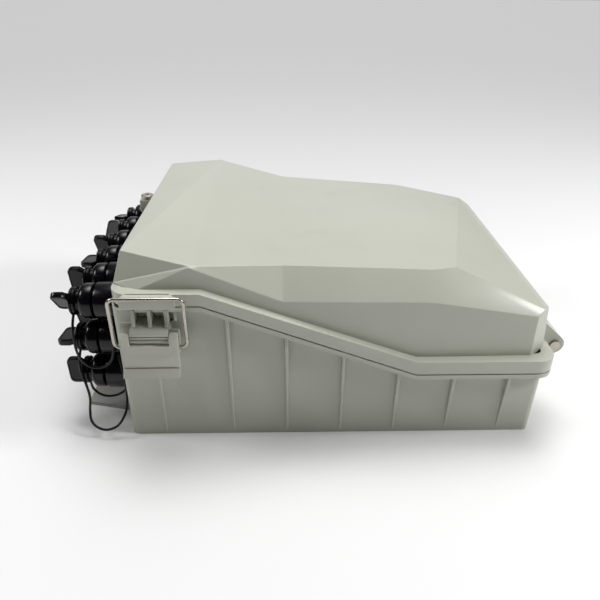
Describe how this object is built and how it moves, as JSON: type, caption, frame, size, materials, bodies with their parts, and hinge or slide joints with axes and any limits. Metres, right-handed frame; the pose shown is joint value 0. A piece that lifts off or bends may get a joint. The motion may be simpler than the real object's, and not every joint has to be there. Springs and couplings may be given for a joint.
{
  "type": "fiber termination box",
  "caption": "Sloped grey fibre termination box lying on its back, with a hinged faceted lid, side toggle latches and rows of capped drop ports.",
  "frame": {"origin": "centre of the housing's back face, which stands on Z = 0", "axes": "+Z out of the back towards the lid, -X towards the ports, +X towards the hinge, -Y towards the near latch"},
  "size_m": [0.3999, 0.2904, 0.1605],
  "materials": {
    "housing_grey": "fine moulded grain",
    "seal_rubber": "soft foam rubber",
    "steel": "plain stainless",
    "bracket_grey": "grey powder coat",
    "zinc": "zinc-plated sheet",
    "tray_plastic": "smooth moulded",
    "clear": "clear sheet",
    "splitter_grey": "smooth",
    "port_black": "glossy moulded",
    "cap_black": "glossy moulded"
  },
  "bodies": {
    "base": {"base_housing": "housing_grey", "lid_seal": "seal_rubber", "hinge_pin_near": "steel", "hinge_pin_far": "steel", "latch_pin_near": "steel", "latch_pin_far": "steel", "mounting_bracket": "bracket_grey", "bracket_screw_near": "steel", "bracket_screw_far": "steel", "chassis_plate": "zinc", "chassis_screw_1": "steel", "chassis_screw_2": "steel", "chassis_screw_3": "steel", "chassis_screw_4": "steel", "splice_tray_lower": "tray_plastic", "splitter": "splitter_grey", "adapter_00": "port_black", "adapter_01": "port_black", "adapter_02": "port_black", "adapter_03": "port_black", "adapter_04": "port_black", "adapter_06": "port_black", "adapter_07": "port_black", "adapter_08": "port_black", "adapter_09": "port_black", "adapter_10": "port_black", "adapter_12": "port_black", "adapter_13": "port_black", "adapter_14": "port_black", "adapter_15": "port_black", "adapter_16": "port_black", "adapter_17": "port_black", "tether_00": "cap_black", "tether_06": "cap_black", "tether_12": "cap_black"},
    "lid": {"lid": "housing_grey"},
    "lock_screw": {"lock_screw": "steel"},
    "lever_near": {"latch_lever_near": "housing_grey"},
    "lever_far": {"latch_lever_far": "housing_grey"},
    "bail_near": {"latch_bail_near": "steel"},
    "bail_far": {"latch_bail_far": "steel"},
    "upper_tray": {"splice_tray_upper": "tray_plastic", "tray_cover": "clear"},
    "cap_00": {"port_cap_00": "cap_black"},
    "cap_01": {"port_cap_01": "cap_black"},
    "cap_02": {"port_cap_02": "cap_black"},
    "cap_03": {"port_cap_03": "cap_black"},
    "cap_04": {"port_cap_04": "cap_black"},
    "cap_06": {"port_cap_06": "cap_black"},
    "cap_07": {"port_cap_07": "cap_black"},
    "cap_08": {"port_cap_08": "cap_black"},
    "cap_09": {"port_cap_09": "cap_black"},
    "cap_10": {"port_cap_10": "cap_black"},
    "cap_12": {"port_cap_12": "cap_black"},
    "cap_13": {"port_cap_13": "cap_black"},
    "cap_14": {"port_cap_14": "cap_black"},
    "cap_15": {"port_cap_15": "cap_black"},
    "cap_16": {"port_cap_16": "cap_black"},
    "cap_17": {"port_cap_17": "cap_black"}
  },
  "joints": [
    {"name": "lid_hinge", "type": "hinge", "parent": "base", "child": "lid", "pos_m": [0.1785, 0, 0.066], "axis": [0, 1, 0], "range_deg": [0, 110]},
    {"name": "lock_screw_turn", "type": "hinge", "parent": "lid", "child": "lock_screw", "pos_m": [-0.174, 0.074, 0.13], "axis": [0, 0, 1], "continuous": true},
    {"name": "latch_near", "type": "hinge", "parent": "base", "child": "lever_near", "pos_m": [-0.133, -0.1335, 0.1], "axis": [-1, 0, 0], "range_deg": [0, 110]},
    {"name": "bail_near_swing", "type": "hinge", "parent": "lever_near", "child": "bail_near", "pos_m": [-0.133, -0.1347, 0.0905], "axis": [-1, 0, 0], "range_deg": [-110, 0]},
    {"name": "latch_far", "type": "hinge", "parent": "base", "child": "lever_far", "pos_m": [-0.133, 0.1335, 0.1], "axis": [1, 0, 0], "range_deg": [0, 110]},
    {"name": "bail_far_swing", "type": "hinge", "parent": "lever_far", "child": "bail_far", "pos_m": [-0.133, 0.1347, 0.0905], "axis": [1, 0, 0], "range_deg": [-110, 0]},
    {"name": "tray_hinge", "type": "hinge", "parent": "base", "child": "upper_tray", "pos_m": [0.072, 0, 0.076], "axis": [0, 1, 0], "range_deg": [0, 20]},
    {"name": "cap_00_turn", "type": "hinge", "parent": "base", "child": "cap_00", "pos_m": [-0.161, -0.0925, 0.043], "axis": [-1, 0, 0], "range_deg": [0, 90]},
    {"name": "cap_01_turn", "type": "hinge", "parent": "base", "child": "cap_01", "pos_m": [-0.161, -0.0555, 0.043], "axis": [-1, 0, 0], "range_deg": [0, 90]},
    {"name": "cap_02_turn", "type": "hinge", "parent": "base", "child": "cap_02", "pos_m": [-0.161, -0.0185, 0.043], "axis": [-1, 0, 0], "range_deg": [0, 90]},
    {"name": "cap_03_turn", "type": "hinge", "parent": "base", "child": "cap_03", "pos_m": [-0.161, 0.0185, 0.043], "axis": [-1, 0, 0], "range_deg": [0, 90]},
    {"name": "cap_04_turn", "type": "hinge", "parent": "base", "child": "cap_04", "pos_m": [-0.161, 0.0555, 0.043], "axis": [-1, 0, 0], "range_deg": [0, 90]},
    {"name": "cap_06_turn", "type": "hinge", "parent": "base", "child": "cap_06", "pos_m": [-0.161, -0.0925, 0.0745], "axis": [-1, 0, 0], "range_deg": [0, 90]},
    {"name": "cap_07_turn", "type": "hinge", "parent": "base", "child": "cap_07", "pos_m": [-0.161, -0.0555, 0.0745], "axis": [-1, 0, 0], "range_deg": [0, 90]},
    {"name": "cap_08_turn", "type": "hinge", "parent": "base", "child": "cap_08", "pos_m": [-0.161, -0.0185, 0.0745], "axis": [-1, 0, 0], "range_deg": [0, 90]},
    {"name": "cap_09_turn", "type": "hinge", "parent": "base", "child": "cap_09", "pos_m": [-0.161, 0.0185, 0.0745], "axis": [-1, 0, 0], "range_deg": [0, 90]},
    {"name": "cap_10_turn", "type": "hinge", "parent": "base", "child": "cap_10", "pos_m": [-0.161, 0.0555, 0.0745], "axis": [-1, 0, 0], "range_deg": [0, 90]},
    {"name": "cap_12_turn", "type": "hinge", "parent": "base", "child": "cap_12", "pos_m": [-0.161, -0.0925, 0.106], "axis": [-1, 0, 0], "range_deg": [0, 90]},
    {"name": "cap_13_turn", "type": "hinge", "parent": "base", "child": "cap_13", "pos_m": [-0.161, -0.0555, 0.106], "axis": [-1, 0, 0], "range_deg": [0, 90]},
    {"name": "cap_14_turn", "type": "hinge", "parent": "base", "child": "cap_14", "pos_m": [-0.161, -0.0185, 0.106], "axis": [-1, 0, 0], "range_deg": [0, 90]},
    {"name": "cap_15_turn", "type": "hinge", "parent": "base", "child": "cap_15", "pos_m": [-0.161, 0.0185, 0.106], "axis": [-1, 0, 0], "range_deg": [0, 90]},
    {"name": "cap_16_turn", "type": "hinge", "parent": "base", "child": "cap_16", "pos_m": [-0.161, 0.0555, 0.106], "axis": [-1, 0, 0], "range_deg": [0, 90]},
    {"name": "cap_17_turn", "type": "hinge", "parent": "base", "child": "cap_17", "pos_m": [-0.161, 0.0925, 0.106], "axis": [-1, 0, 0], "range_deg": [0, 90]}
  ],
  "couplings": [
    {"joint": "bail_near_swing", "follows": "latch_near", "ratio": -1},
    {"joint": "bail_far_swing", "follows": "latch_far", "ratio": -1}
  ]
}
